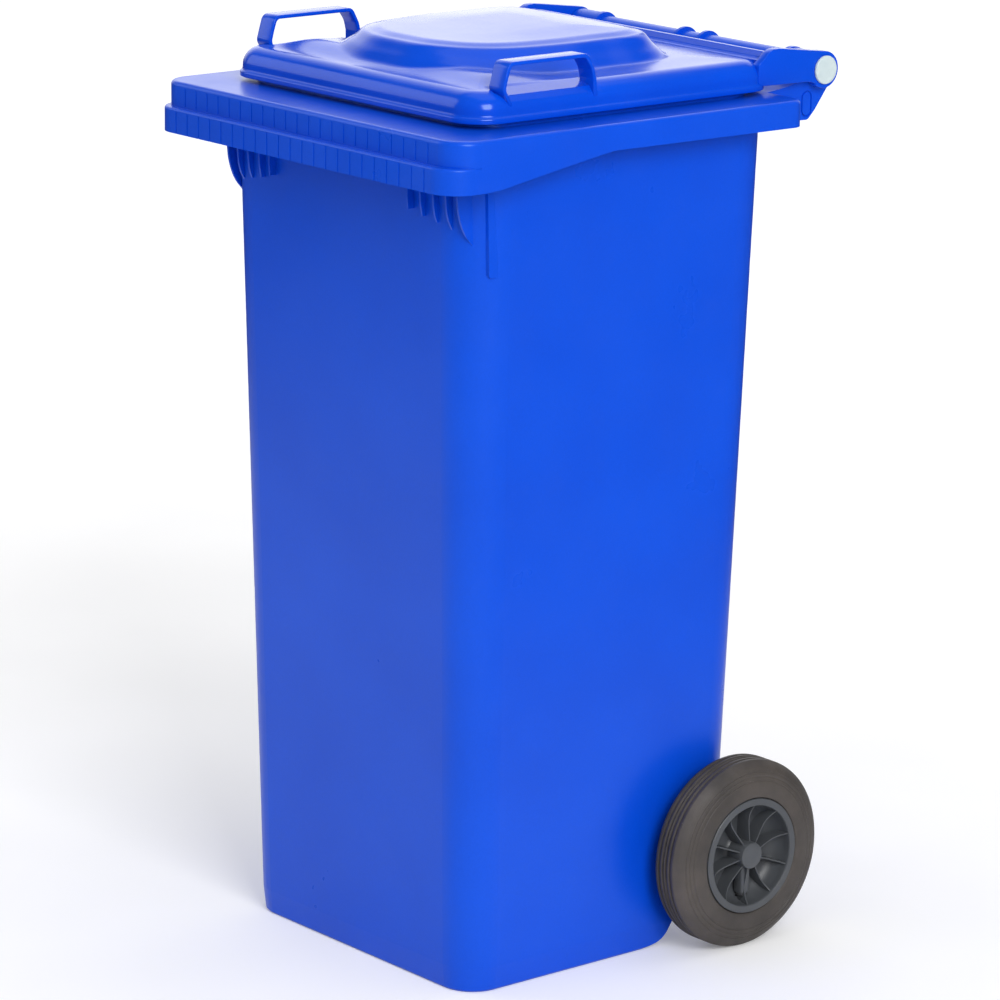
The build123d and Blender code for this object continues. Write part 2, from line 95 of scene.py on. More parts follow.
def coords(nt):
    return node(nt, "ShaderNodeTexCoord").outputs["Object"]


def noise(nt, vec, scale, detail=3.0, rough=0.55, dist=0.0):
    n = node(nt, "ShaderNodeTexNoise")
    n.inputs["Scale"].default_value = scale
    n.inputs["Detail"].default_value = detail
    n.inputs["Roughness"].default_value = rough
    n.inputs["Distortion"].default_value = dist
    nt.links.new(vec, n.inputs["Vector"])
    return n.outputs["Fac"]


def ramp(nt, fac, stops):
    n = node(nt, "ShaderNodeValToRGB")
    while len(n.color_ramp.elements) < len(stops):
        n.color_ramp.elements.new(0.5)
    for e, (p, c) in zip(n.color_ramp.elements, stops):
        e.position = p
        e.color = c if len(c) == 4 else (*c, 1.0)
    nt.links.new(fac, n.inputs["Fac"])
    return n.outputs["Color"]


def rng(nt, fac, a, b, c, d):
    n = node(nt, "ShaderNodeMapRange")
    n.inputs["From Min"].default_value = a
    n.inputs["From Max"].default_value = b
    n.inputs["To Min"].default_value = c
    n.inputs["To Max"].default_value = d
    nt.links.new(fac, n.inputs["Value"])
    return n.outputs["Result"]


def math_node(nt, op, a, b=None):
    n = node(nt, "ShaderNodeMath", operation=op)
    for i, v in enumerate((a, b)):
        if v is None:
            continue
        if isinstance(v, (int, float)):
            n.inputs[i].default_value = v
        else:
            nt.links.new(v, n.inputs[i])
    return n.outputs[0]


def bump(nt, b, height, strength, distance, prev=None):
    n = node(nt, "ShaderNodeBump")
    n.inputs["Strength"].default_value = strength
    n.inputs["Distance"].default_value = distance
    nt.links.new(height, n.inputs["Height"])
    if prev is not None:
        nt.links.new(prev, n.inputs["Normal"])
    nt.links.new(n.outputs["Normal"], b.inputs["Normal"])
    return n.outputs["Normal"]


def blue_plastic(name, rough, grain, deep, light, tint):
    """Moulded HDPE: slow pigment drift, mottled skin, fine eroded-mould grain."""
    m, nt, b = new_mat(name)
    v = coords(nt)
    drift = noise(nt, v, 5.5, 2.0)
    col = ramp(nt, drift, [(0.25, deep), (0.75, light)])
    # mottle of the moulded skin
    mott = noise(nt, v, 480.0, 2.0, 0.55)
    k = node(nt, "ShaderNodeMix", data_type="RGBA", blend_type="MULTIPLY")
    k.inputs["Factor"].default_value = 1.0
    nt.links.new(col, k.inputs["A"])
    nt.links.new(ramp(nt, mott, [(0.30, (0.93, 0.93, 0.95)), (0.70, (1.0, 1.0, 1.0))]), k.inputs["B"])
    # pale scuffs, few and faint
    scuff = noise(nt, v, 46.0, 5.0, 0.65, 0.6)
    pale = ramp(nt, scuff, [(0.52, (0, 0, 0)), (0.80, (1, 1, 1))])
    mix = node(nt, "ShaderNodeMix", data_type="RGBA")
    nt.links.new(math_node(nt, "MULTIPLY", pale, 0.012), mix.inputs["Factor"])
    nt.links.new(k.outputs["Result"], mix.inputs["A"])
    mix.inputs["B"].default_value = (0.20, 0.30, 0.85, 1)
    nt.links.new(mix.outputs["Result"], b.inputs["Base Color"])
    smear = noise(nt, v, 9.0, 4.0, 0.6)
    nt.links.new(rng(nt, smear, 0.3, 0.7, rough - 0.03, rough + 0.05), b.inputs["Roughness"])
    b.inputs["IOR"].default_value = 1.50
    b.inputs["Specular Tint"].default_value = tint
    fine = noise(nt, v, 520.0, 2.0, 0.55)
    n1 = bump(nt, b, fine, grain, 0.0004)
    wav = noise(nt, v, 14.0, 2.0, 0.5)
    bump(nt, b, wav, 0.10, 0.003, n1)
    return m


def pin_plastic():
    m, nt, b = new_mat("pin_plastic")
    v = coords(nt)
    col = ramp(nt, noise(nt, v, 60.0, 3.0), [(0.3, (0.50, 0.60, 0.62)), (0.7, (0.60, 0.69, 0.70))])
    nt.links.new(col, b.inputs["Base Color"])
    nt.links.new(rng(nt, noise(nt, v, 180.0, 2.0), 0.3, 0.7, 0.30, 0.42), b.inputs["Roughness"])
    bump(nt, b, noise(nt, v, 900.0, 2.0), 0.12, 0.0003)
    return m


def rubber():
    """Solid rubber: brown-grey bloom, scuffs, concentric mould lines and fine grit."""
    m, nt, b = new_mat("tyre_rubber")
    v = coords(nt)
    base = ramp(nt, noise(nt, v, 14.0, 5.0, 0.62), [(0.25, (0.030, 0.027, 0.026)), (0.55, (0.062, 0.053, 0.048)),
                                                    (0.8, (0.095, 0.080, 0.070))])
    speck = noise(nt, v, 420.0, 1.0, 0.5)
    dots = ramp(nt, speck, [(0.76, (0, 0, 0)), (0.82, (1, 1, 1))])
    mix = node(nt, "ShaderNodeMix", data_type="RGBA")
    nt.links.new(math_node(nt, "MULTIPLY", dots, 0.35), mix.inputs["Factor"])
    nt.links.new(base, mix.inputs["A"])
    mix.inputs["B"].default_value = (0.25, 0.22, 0.20, 1)
    nt.links.new(mix.outputs["Result"], b.inputs["Base Color"])
    nt.links.new(rng(nt, noise(nt, v, 30.0, 4.0), 0.3, 0.7, 0.48, 0.68), b.inputs["Roughness"])
    # concentric lathe-like lines round the wheel's own axis
    sep = node(nt, "ShaderNodeSeparateXYZ")
    nt.links.new(v, sep.inputs[0])
    dy = math_node(nt, "SUBTRACT", sep.outputs[1], fy(410.0))
    dz = math_node(nt, "SUBTRACT", sep.outputs[2], 0.1)
    rad = math_node(nt, "SQRT", math_node(nt, "ADD", math_node(nt, "MULTIPLY", dy, dy),
                                          math_node(nt, "MULTIPLY", dz, dz)))
    ring = node(nt, "ShaderNodeTexNoise", noise_dimensions="1D")
    ring.inputs["Scale"].default_value = 900.0
    ring.inputs["Detail"].default_value = 2.0
    nt.links.new(rad, ring.inputs["W"])
    n1 = bump(nt, b, ring.outputs["Fac"], 0.35, 0.0005)
    bump(nt, b, noise(nt, v, 700.0, 3.0, 0.65), 0.25, 0.0005, n1)
    return m


def grey_plastic(name, a, c, rough):
    m, nt, b = new_mat(name)
    v = coords(nt)
    col = ramp(nt, noise(nt, v, 22.0, 4.0), [(0.3, a), (0.7, c)])
    nt.links.new(col, b.inputs["Base Color"])
    nt.links.new(rng(nt, noise(nt, v, 40.0, 3.0), 0.3, 0.7, rough - 0.05, rough + 0.08), b.inputs["Roughness"])
    bump(nt, b, noise(nt, v, 1000.0, 2.0), 0.15, 0.0003)
    return m


def steel(name, base, rough):
    m, nt, b = new_mat(name)
    v = coords(nt)
    mp = node(nt, "ShaderNodeMapping")
    mp.inputs["Scale"].default_value = (6.0, 500.0, 500.0)
    nt.links.new(v, mp.inputs["Vector"])
    streak = noise(nt, mp.outputs[0], 1.0, 3.0)
    nt.links.new(ramp(nt, streak, [(0.3, [c * 0.82 for c in base]), (0.7, base)]), b.inputs["Base Color"])
    b.inputs["Metallic"].default_value = 1.0
    nt.links.new(rng(nt, streak, 0.3, 0.7, rough, rough + 0.15), b.inputs["Roughness"])
    bump(nt, b, streak, 0.08, 0.0003)
    return m


# ---------------------------------------------------------------- mesh tools
def obj_from(name, verts, faces, mat, smooth=True, angle=None):
    me = bpy.data.meshes.new(name)
    me.from_pydata([tuple(v) for v in verts], [], [tuple(f) for f in faces])
    me.validate()
    bm = bmesh.new()
    bm.from_mesh(me)
    bmesh.ops.remove_doubles(bm, verts=bm.verts, dist=1e-6)
    bmesh.ops.recalc_face_normals(bm, faces=bm.faces)
    bm.to_mesh(me)
    bm.free()
    ob = bpy.data.objects.new(name, me)
    bpy.context.scene.collection.objects.link(ob)
    if mat is not None:
        me.materials.append(mat)
    for p in me.polygons:
        p.use_smooth = smooth
    if angle is not None:
        me.set_sharp_from_angle(angle=math.radians(angle))
    return ob


def apply_mods(ob):
    bpy.context.view_layer.update()
    dg = bpy.context.evaluated_depsgraph_get()
    me = bpy.data.meshes.new_from_object(ob.evaluated_get(dg))
    old = ob.data
    ob.modifiers.clear()
    ob.data = me
    bpy.data.meshes.remove(old)
    return ob


def bevelled(ob, width, segments=3, angle=30):
    m = ob.modifiers.new("bevel", "BEVEL")
    m.width = mm(width)
    m.segments = segments
    m.limit_method = "ANGLE"
    m.angle_limit = math.radians(angle)
    m.harden_normals = False
    return apply_mods(ob)


def boolean(ob, others, op="UNION"):
    for o in others:
        m = ob.modifiers.new("bool", "BOOLEAN")
        m.operation = op
        m.solver = "EXACT"
        m.object = o
        apply_mods(ob)
        bpy.data.objects.remove(o)
    return ob


def round_corners(corners, seg=8):
    """Points of a closed outline from (u, v, radius) corners."""
    pts = []
    n = len(corners)
    for i in range(n):
        u, v, r = corners[i]
        if r <= 0:
            pts.append((u, v))
            continue
        pu, pv, _ = corners[i - 1]
        nu, nv, _ = corners[(i + 1) % n]
        a = np.array((pu - u, pv - v), float)
        b = np.array((nu - u, nv - v), float)
        a /= np.linalg.norm(a)
        b /= np.linalg.norm(b)
        half = math.acos(max(-1.0, min(1.0, float(a @ b)))) / 2
        t = r / math.tan(half)
        bis = (a + b) / np.linalg.norm(a + b)
        cc = np.array((u, v)) + bis * (r / math.sin(half))
        p0 = np.array((u, v)) + a * t - cc
        p1 = np.array((u, v)) + b * t - cc
        a0 = math.atan2(p0[1], p0[0])
        a1 = math.atan2(p1[1], p1[0])
        d = (a1 - a0 + math.pi) % (2 * math.pi) - math.pi
        for k in range(seg + 1):
            th = a0 + d * k / seg
            pts.append((cc[0] + r * math.cos(th), cc[1] + r * math.sin(th)))
    return pts


def prism_x(name, outline, x0, x1, mat):
    """Solid prism along X from an outline in (depth station, z), mm."""
    n = len(outline)
    verts = [(mm(x0), fy(y), mm(z)) for y, z in outline] + [(mm(x1), fy(y), mm(z)) for y, z in outline]
    faces = [list(range(n)), list(range(n, 2 * n))]
    faces += [(i, (i + 1) % n, n + (i + 1) % n, n + i) for i in range(n)]
    return obj_from(name, verts, faces, mat, smooth=False)


def prism_y(name, outline, y0, y1, mat):
    """Solid prism along Y from an outline in (x, z), mm."""
    n = len(outline)
    verts = [(mm(x), fy(y0), mm(z)) for x, z in outline] + [(mm(x), fy(y1), mm(z)) for x, z in outline]
    faces = [list(range(n)), list(range(n, 2 * n))]
    faces += [(i, (i + 1) % n, n + (i + 1) % n, n + i) for i in range(n)]
    return obj_from(name, verts, faces, mat, smooth=False)


def lathe(name, pts, yc, zc, mat, seg=192, angle=32, close=False):
    """Surface of revolution about an X-parallel axis from (x, r) points, mm."""
    verts, faces = [], []
    n = len(pts)
    for k in range(seg):
        th = 2 * math.pi * k / seg
        for x, r in pts:
            verts.append((mm(x), fy(yc) + mm(r) * math.cos(th), mm(zc) + mm(r) * math.sin(th)))
    m = n if close else n - 1
    for k in range(seg):
        k2 = (k + 1) % seg
        for i in range(m):
            j = (i + 1) % n
            faces.append((k * n + i, k * n + j, k2 * n + j, k2 * n + i))
    return obj_from(name, verts, faces, mat, smooth=True, angle=angle)


def smooth01(t):
    t = np.clip(t, 0.0, 1.0)
    return t * t * (3 - 2 * t)


# ---------------------------------------------------------------- lid
LID_Y0, LID_Y1, LID_HX, LID_R = 62.0, 458.0, 200.0, 37.0
LID_T = 3.0


def lid_params():
    """Perimeter stations of the lid's rounded-rectangle outline, counter-clockwise."""
    def seg(a, b, extra=(), step=4.0):
        n = max(2, int(abs(b - a) / step))
        v = list(np.linspace(a, b, n + 1)[:-1])
        v += [e for e in extra if min(a, b) < e < max(a, b)]
        v = sorted(set(np.round(v, 4)), reverse=b < a)
        return v
    out = []
    xa = LID_HX - LID_R
    ya, yb = LID_Y0 + LID_R, LID_Y1 - LID_R
    ex = (105.0, 107.2, 108.2, 109.0, 109.8, 110.6, 219.0, 220.5, 221.5, 229.8, 230.8, 231.6, 232.4, 233.2)
    for x in seg(-xa, xa):
        out.append(("S", (x + xa) / (2 * xa)))
    for k in range(16):
        out.append(("SE", k / 16.0))
    for y in seg(ya, yb, ex, 3.2):
        out.append(("E", (y - ya) / (yb - ya)))
    for k in range(16):
        out.append(("NE", k / 16.0))
    for x in seg(xa, -xa):
        out.append(("N", (xa - x) / (2 * xa)))
    for k in range(16):
        out.append(("NW", k / 16.0))
    for y in seg(yb, ya, ex, 3.2):
        out.append(("W", (yb - y) / (yb - ya)))
    for k in range(16):
        out.append(("SW", k / 16.0))
    return out


def lid_ring(params, d):
    """Outline points at inset d."""
    r = max(LID_R - d, min(LID_R, 5.0))
    x1 = LID_HX - d
    y0, y1 = LID_Y0 + d, LID_Y1 - d
    pts = []
    for side, t in params:
        if side == "S":
            pts.append((-(x1 - r) + 2 * (x1 - r) * t, y0))
        elif side == "N":
            pts.append(((x1 - r) - 2 * (x1 - r) * t, y1))
        elif side == "E":
            pts.append((x1, y0 + r + (y1 - y0 - 2 * r) * t))
        elif side == "W":
            pts.append((-x1, y1 - r - (y1 - y0 - 2 * r) * t))
        else:
            cx = x1 - r if side in ("SE", "NE") else -(x1 - r)
            cy = y0 + r if side in ("SE", "SW") else y1 - r
            a0 = {"SE": -90, "NE": 0, "NW": 90, "SW": 180}[side]
            a = math.radians(a0 + 90 * t)
            pts.append((cx + r * math.cos(a), cy + r * math.sin(a)))
    return np.array(pts)


PLATEAU = np.array([(0, 127), (30, 128), (52, 134), (77, 146), (96, 164), (107, 186), (113, 215), (116, 250),
                    (115, 290), (115, 325), (110, 348), (98, 362), (78, 369), (45, 371), (0, 372)], float)


def plateau_poly():
    right = PLATEAU
    left = right[::-1][1:-1] * np.array((-1, 1))
    p = np.vstack([right, left])
    # resample smoothly (Catmull-Rom)
    out = []
    n = len(p)
    for i in range(n):
        a, b, c, d = p[i - 1], p[i], p[(i + 1) % n], p[(i + 2) % n]
        for k in range(6):
            t = k / 6.0
            out.append(0.5 * ((2 * b) + (-a + c) * t + (2 * a - 5 * b + 4 * c - d) * t * t
                              + (-a + 3 * b - 3 * c + d) * t ** 3))
    return np.array(out)


POLY = plateau_poly()


def signed_dist(x, y):
    """Distance to the plateau outline, positive outside."""
    p = np.stack([x, y], -1)[:, None, :]
    a = POLY[None, :, :]
    b = np.roll(POLY, -1, 0)[None, :, :]
    ab = b - a
    t = np.clip(((p - a) * ab).sum(-1) / (ab ** 2).sum(-1), 0, 1)
    q = a + ab * t[..., None]
    dist = np.sqrt(((p - q) ** 2).sum(-1)).min(1)
    ax, ay, bx, by = a[..., 0], a[..., 1], b[..., 0], b[..., 1]
    px, py = p[..., 0], p[..., 1]
    cond = (ay > py) != (by > py)
    xi = (bx - ax) * (py - ay) / np.where(np.abs(by - ay) < 1e-9, 1e-9, by - ay) + ax
    inside = (np.where(cond & (px < xi), 1, 0).sum(1) % 2) == 1
    return np.where(inside, -dist, dist)


def lid_top(x, y, d):
    """Height of the lid's upper surface inside the shoulder, mm."""
    base = 920.0 + (1.2 + 7.5 * smooth01((215 - y) / 95.0)) * smooth01((d - 21.8) / 48.0)
    sd = signed_dist(x, y)
    w = 27.0
    t = np.clip(sd / w, 0, 1)
    # two-stage slope: rounded brow, a faint ridge half-way, then a soft foot
    brow = 1.0 - 0.54 * smooth01(t / 0.55) - 0.46 * smooth01((t - 0.42) / 0.58)
    top = 947.5 + 3.6 * smooth01(-sd / 70.0) * smooth01((y - 120) / 200.0)
    edge = 3.0 * (1 - smooth01(-sd / 16.0))
    z = base + (top - edge - base) * np.where(sd > 0, brow, 1.0)
    z = np.where(sd <= 0, top - edge * 1.0, z)
    return z


def handle_facet(x, y, z):
    """Flat bed under each pull handle: level with the lid top, then falling to the edge."""
    ax = np.abs(x)
    plane = np.minimum(920.3 - 0.22 * np.maximum(0.0, ax - 168.0), 915.46 - 1.2 * (ax - 190.0))
    out = smooth01((ax - 186.0) / 11.0)
    wy = smooth01((y - (98.0 + 10.5 * out)) / 1.4) * smooth01(((221.0 + 11.0 * out) - y) / 1.4)
    wx = smooth01((ax - 167.0) / 2.0)
    cut = np.minimum(z, plane)
    return z + (cut - z) * wy * wx


def make_lid(mat):
    params = lid_params()
    n = len(params)
    rings = []
    # outer skin: bead, skirt, shoulder
    prof = [(2.6, 890.0), (0.9, 890.0), (0.25, 890.35), (0.0, 891.0), (0.0, 894.2), (0.3, 895.2), (1.0, 895.9),
            (2.0, 896.4), (2.5, 897.2), (2.65, 898.6), (2.8, 901.0)]
    for k in range(1, 15):
        th = math.radians(90.0 * k / 14)
        prof.append((21.8 - 19 * math.cos(th), 901 + 19 * math.sin(th)))
    for d, z in prof:
        p = lid_ring(params, d)
        zz = np.full(n, z)
        if z > 901:
            zz = handle_facet(p[:, 0], p[:, 1], zz)
        rings.append(np.column_stack([p, zz]))
    d = 21.8
    while d < 192:
        d += 2.3
        p = lid_ring(params, d)
        zz = lid_top(p[:, 0], p[:, 1], np.full(n, d))
        zz = handle_facet(p[:, 0], p[:, 1], zz)
        rings.append(np.column_stack([p, zz]))
    n_out = len(rings)
    # inner skin, one wall thickness below, listed from the middle outward
    inner = []
    iprof = [(5.6, 901.0)]
    for k in range(1, 9):
        th = math.radians(90.0 * k / 8)
        iprof.append((21.8 - 16 * math.cos(th), 901 + 16 * math.sin(th)))
    iprof = [(2.6, 890.0), (4.6, 890.4), (5.2, 891.4), (5.5, 896.0)] + iprof
    for d, z in iprof[1:]:
        p = lid_ring(params, d)
        zz = np.full(n, z)
        if z > 901:
            zz = np.minimum(zz, handle_facet(p[:, 0], p[:, 1], zz + LID_T) - LID_T)
        inner.append(np.column_stack([p, zz]))
    d = 21.8
    while d < 190:
        d += 4.6
        p = lid_ring(params, d)
        zz = handle_facet(p[:, 0], p[:, 1], lid_top(p[:, 0], p[:, 1], np.full(n, d))) - LID_T
        inner.append(np.column_stack([p, zz]))
    allr = rings[::-1] + inner
    verts = np.vstack(allr)
    faces = []
    for i in range(len(allr) - 1):
        for k in range(n):
            k2 = (k + 1) % n
            faces.append((i * n + k, i * n + k2, (i + 1) * n + k2, (i + 1) * n + k))
    # close both middles with a fan
    v = [tuple(q) for q in verts]
    c0 = rings[-1].mean(0)
    c1 = inner[-1].mean(0)
    v.append(tuple(c0))
    v.append(tuple(c1))
    last = (len(allr) - 1) * n
    for k in range(n):
        k2 = (k + 1) % n
        faces.append((k2, k, len(v) - 2))
        faces.append((last + k, last + k2, len(v) - 1))
    vv = [(mm(a), fy(b), mm(c)) for a, b, c in v]
    lid = obj_from("lid_shell", vv, faces, mat, smooth=True)

    adds = []
    # upstand across the rear
    up = prism_x("up", round_corners([(444, 912, 0), (458, 903, 0), (458, 926.6, 1.6), (452.6, 926.6, 1.6),
                                      (450.4, 920.5, 3.0), (444, 918.6, 0)], 5), -188, 188, mat)
    adds.append(up)
    # hinge arms
    for s in (-1, 1):
        x0, x1 = (186.0, 195.6) if s > 0 else (-195.6, -186.0)
        out = [(434, 897), (440, 894.2), (464, 893.6), (500, 893.2), (507, 892.4), (513.5, 890.0)]
        for k in range(0, 25):
            a = math.radians(-128 + (88 + 128) * k / 24.0)
            out.append((525 + 18.9 * math.cos(a), 903.5 + 18.9 * math.sin(a)))
        out += [(500, 925.6), (476, 928.8), (461, 930.6), (453, 930.0), (447, 927.0), (441, 921), (434, 916)]
        arm = prism_x("arm", out, x0, x1, mat)
        arm = bevelled(arm, 1.3, 3, 25)
        bore = prism_x("bore", [(525 + 8.06 * math.cos(a), 903.5 + 8.06 * math.sin(a))
                                for a in np.linspace(0, 2 * math.pi, 49)[:-1]], x0 - 5, x1 + 5, mat)
        arm = boolean(arm, [bore], "DIFFERENCE")
        adds.append(arm)
    # strap handles, each trimmed to end inside the lid's wall
    for s in (-1, 1):
        top, t = 948.6, 3.8
        outer = round_corners([(108, 905, 0), (98.6, 921.5, 8), (101.6, 932, 20), (106.5, top, 9), (206.3, top, 9),
                               (214.8, 933, 20), (217.6, 923, 8), (219.5, 905, 0)], 8)
        inner_o = round_corners([(214, 905, 0), (213.6, 923, 8), (211, 933, 16), (203.2, top - t, 6),
                                 (109.5, top - t, 6), (105.4, 932, 16), (102.8, 921.8, 8), (112, 905, 0)], 8)
        # the grip sags slightly between its corners
        pts = []
        for u, v in outer + inner_o:
            w = max(0.0, 1.0 - ((u - 157.0) / 47.0) ** 2)
            pts.append((u, v - 1.5 * w if v > 940 else v))
        x0, x1 = (175.0, 197.0) if s > 0 else (-197.0, -175.0)
        strap = prism_x("strap", pts, x0, x1, mat)
        strap = bevelled(strap, 1.0, 3, 40)
        keep = prism_y("keep", [(s * u, v) for u, v in ((175, 917.4), (185, 915.2), (190, 913.9), (193.2, 909.8),
                                                        (196.2, 905.6), (200, 905.3), (200, 960), (172, 960),
                                                        (172, 917.6))], 80, 240, mat)
        strap = boolean(strap, [keep], "INTERSECT")
        adds.append(strap)
    lid = boolean(lid, adds)
    # shade smooth, with sharp edges above 34 degrees
    for p in lid.data.polygons:
        p.use_smooth = True
    lid.data.set_sharp_from_angle(angle=math.radians(34))
    return lid


# ---------------------------------------------------------------- wheels
def make_tyre(name, sign, mat):
    c = 218.0
    half = [(21.45, 57.06), (21.45, 60.9), (22.2, 61.4), (23.4, 61.7), (24.3, 62.4), (24.75, 63.6), (24.95, 65.5),
            (25.0, 68.0), (24.85, 71.0), (24.5, 74.5), (24.05, 77.6), (23.75, 79.1), (23.35, 79.5), (23.4, 80.0),
            (23.65, 80.4), (23.5, 81.2), (23.1, 82.8), (22.85, 83.5), (22.45, 83.9), (22.5, 84.4), (22.7, 84.8),
            (22.45, 85.9), (22.0, 87.4), (21.7, 88.1), (21.3, 88.4), (21.3, 88.9), (21.45, 89.3), (21.0, 90.2),
            (20.0, 92.0), (18.6, 94.1), (16.8, 96.2), (15.2, 97.7), (13.9, 98.8), (13.3, 99.4), (12.6, 99.75),
            (11.0, 99.95), (10.0, 99.95), (9.5, 99.6), (9.2, 98.4), (8.8, 97.9), (7.4, 97.9), (7.0, 98.4),
            (6.7, 99.6), (6.2, 100.0), (4.2, 100.0), (3.7, 99.6), (3.4, 98.4), (3.0, 97.9), (1.4, 97.9), (1.0, 98.4),
            (0.7, 99.6), (0.3, 99.95)]
    pts = [(c + u, r) for u, r in half] + [(c - u, r) for u, r in reversed(half)]
    pts = [(x * sign, r) for x, r in pts]
    return lathe(name, pts, 410, 100, mat, seg=240, angle=40, close=True)


def make_rim(name, sign, mat):
    """Rim: hub, bowl, ring and tyre seat as one lathe, with blades and the latch housing."""
    pts = [(185.0, 10.06), (185.0, 13.4), (185.6, 14.0), (205.0, 14.2), (213.4, 15.5), (215.4, 19.0), (215.4, 40.0),
           (213.5, 46.0), (209.0, 49.8), (200.0, 51.5), (194.0, 53.0), (193.0, 54.0), (193.0, 60.4), (193.6, 61.0),
           (196.0, 61.0), (196.5, 60.5), (196.5, 57.4), (196.9, 57.0), (239.1, 57.0), (239.5, 57.4), (239.5, 60.5),
           (240.0, 61.0), (242.4, 61.0), (243.0, 60.4), (243.0, 54.1), (242.4, 53.5), (241.2, 53.2)]
    # bowl wall sweeping round to the web
    for k in range(0, 13):
        a = math.radians(4 + 80 * k / 12.0)
        pts.append((239.0 - 20.4 * math.sin(a), 33.0 + 20.2 * math.cos(a) ** 0.9))
    pts += [(218.4, 30.0), (218.4, 20.0), (218.9, 17.0), (221.0, 14.8), (225.0, 14.2), (238.0, 14.0), (242.0, 13.9),
            (242.8, 13.5), (243.0, 12.8), (243.0, 6.0), (243.0, 0.01), (238.8, 0.01), (238.8, 10.06)]
    pts = [(x * sign, r) for x, r in pts]
    rim = lathe(name, pts, 410, 100, mat, seg=160, angle=35, close=True)

    blades = []
    for k in range(10):
        ang = math.radians(87.0 - 36.0 * k)
        front = [(238.6, 12.0), (238.0, 15.0), (236.8, 22.0), (235.4, 30.0), (234.8, 36.0), (235.4, 41.5),
                 (237.2, 46.5), (239.6, 50.2), (241.2, 52.4), (241.2, 54.5)]
        rear = [(214.0, 54.5), (214.0, 12.0)]
        outline = front + rear
        t = 0.85
        verts = []
        for side in (-1, 1):
            for i, (x, r) in enumerate(outline):
                tt = t * (0.75 if 0 < i < len(front) - 1 else 1.0)
                y = r * math.cos(ang) - side * tt * math.sin(ang)
                z = r * math.sin(ang) + side * tt * math.cos(ang)
                verts.append((mm(x * sign), fy(410) + mm(y), mm(100 + z)))
        m = len(outline)
        faces = [list(range(m)), list(range(m, 2 * m))]
        faces += [(i, (i + 1) % m, m + (i + 1) % m, m + i) for i in range(m)]
        blades.append(obj_from("blade", verts, faces, mat, smooth=False))
    # latch housing, straight down at rest
    hx = 228.0
    n = 20
    ring = []
    for a in np.linspace(0, 2 * math.pi, n + 1)[:-1]:
        e = 0.5
        cx = math.copysign(abs(math.cos(a)) ** e, math.cos(a)) * 6.7
        cy = math.copysign(abs(math.sin(a)) ** e, math.sin(a)) * 6.5
        ring.append((cx, cy))
    verts, faces = [], []
    for r in (12.0, 41.6, 42.6, 43.0):
        k = {12.0: 1.0, 41.6: 1.0, 42.6: 0.94, 43.0: 0.86}[r]
        for cx, cy in ring:
            verts.append((mm((hx + cx * k) * sign), fy(410) + mm(cy * k), mm(100 - r)))
    for j in range(3):
        for i in range(n):
            i2 = (i + 1) % n
            faces.append((j * n + i, j * n + i2, (j + 1) * n + i2, (j + 1) * n + i))
    faces.append(list(range(n)))
    faces.append(list(range(3 * n, 4 * n)))
    house = obj_from("house", verts, faces, mat, smooth=False)
    foot = prism_x("foot", [(406.5, 88), (413.5, 88), (413.5, 57.4), (406.5, 57.4)], 214.5 * sign, 227 * sign, mat)
    rim = boolean(rim, blades + [house, foot])

    def drill(r, z0, z1):
        k = 32
        verts, faces = [], []
        for z in (z0, z1):
            for a in np.linspace(0, 2 * math.pi, k + 1)[:-1]:
                verts.append((mm((hx + r * math.cos(a)) * sign), fy(410) + mm(r * math.sin(a)), mm(z)))
        faces = [list(range(k)), list(range(k, 2 * k))]
        faces += [(i, (i + 1) % k, k + (i + 1) % k, k + i) for i in range(k)]
        return obj_from("drill", verts, faces, mat, smooth=False)
    rim = boolean(rim, [drill(4.58, 40.0, 85.0), drill(3.08, 84.0, 92.0), drill(6.6, 52.0, 57.0)], "DIFFERENCE")
    for p in rim.data.polygons:
        p.use_smooth = True
    rim.data.set_sharp_from_angle(angle=math.radians(35))
    return rim


def make_pin(name, sign, mat):
    pts = [(158.5, 0.01), (158.5, 6.8), (159.7, 8.0), (196.0, 8.0), (196.0, 14.0), (196.3, 14.5), (197.4, 14.6),
           (198.2, 14.4), (198.75, 13.9), (199.0, 13.2), (199.15, 12.6), (199.2, 11.5), (199.2, 5.0), (199.2, 0.01)]
    return lathe(name, [(x * sign, r) for x, r in pts], 525, 903.5, mat, seg=96, angle=40)


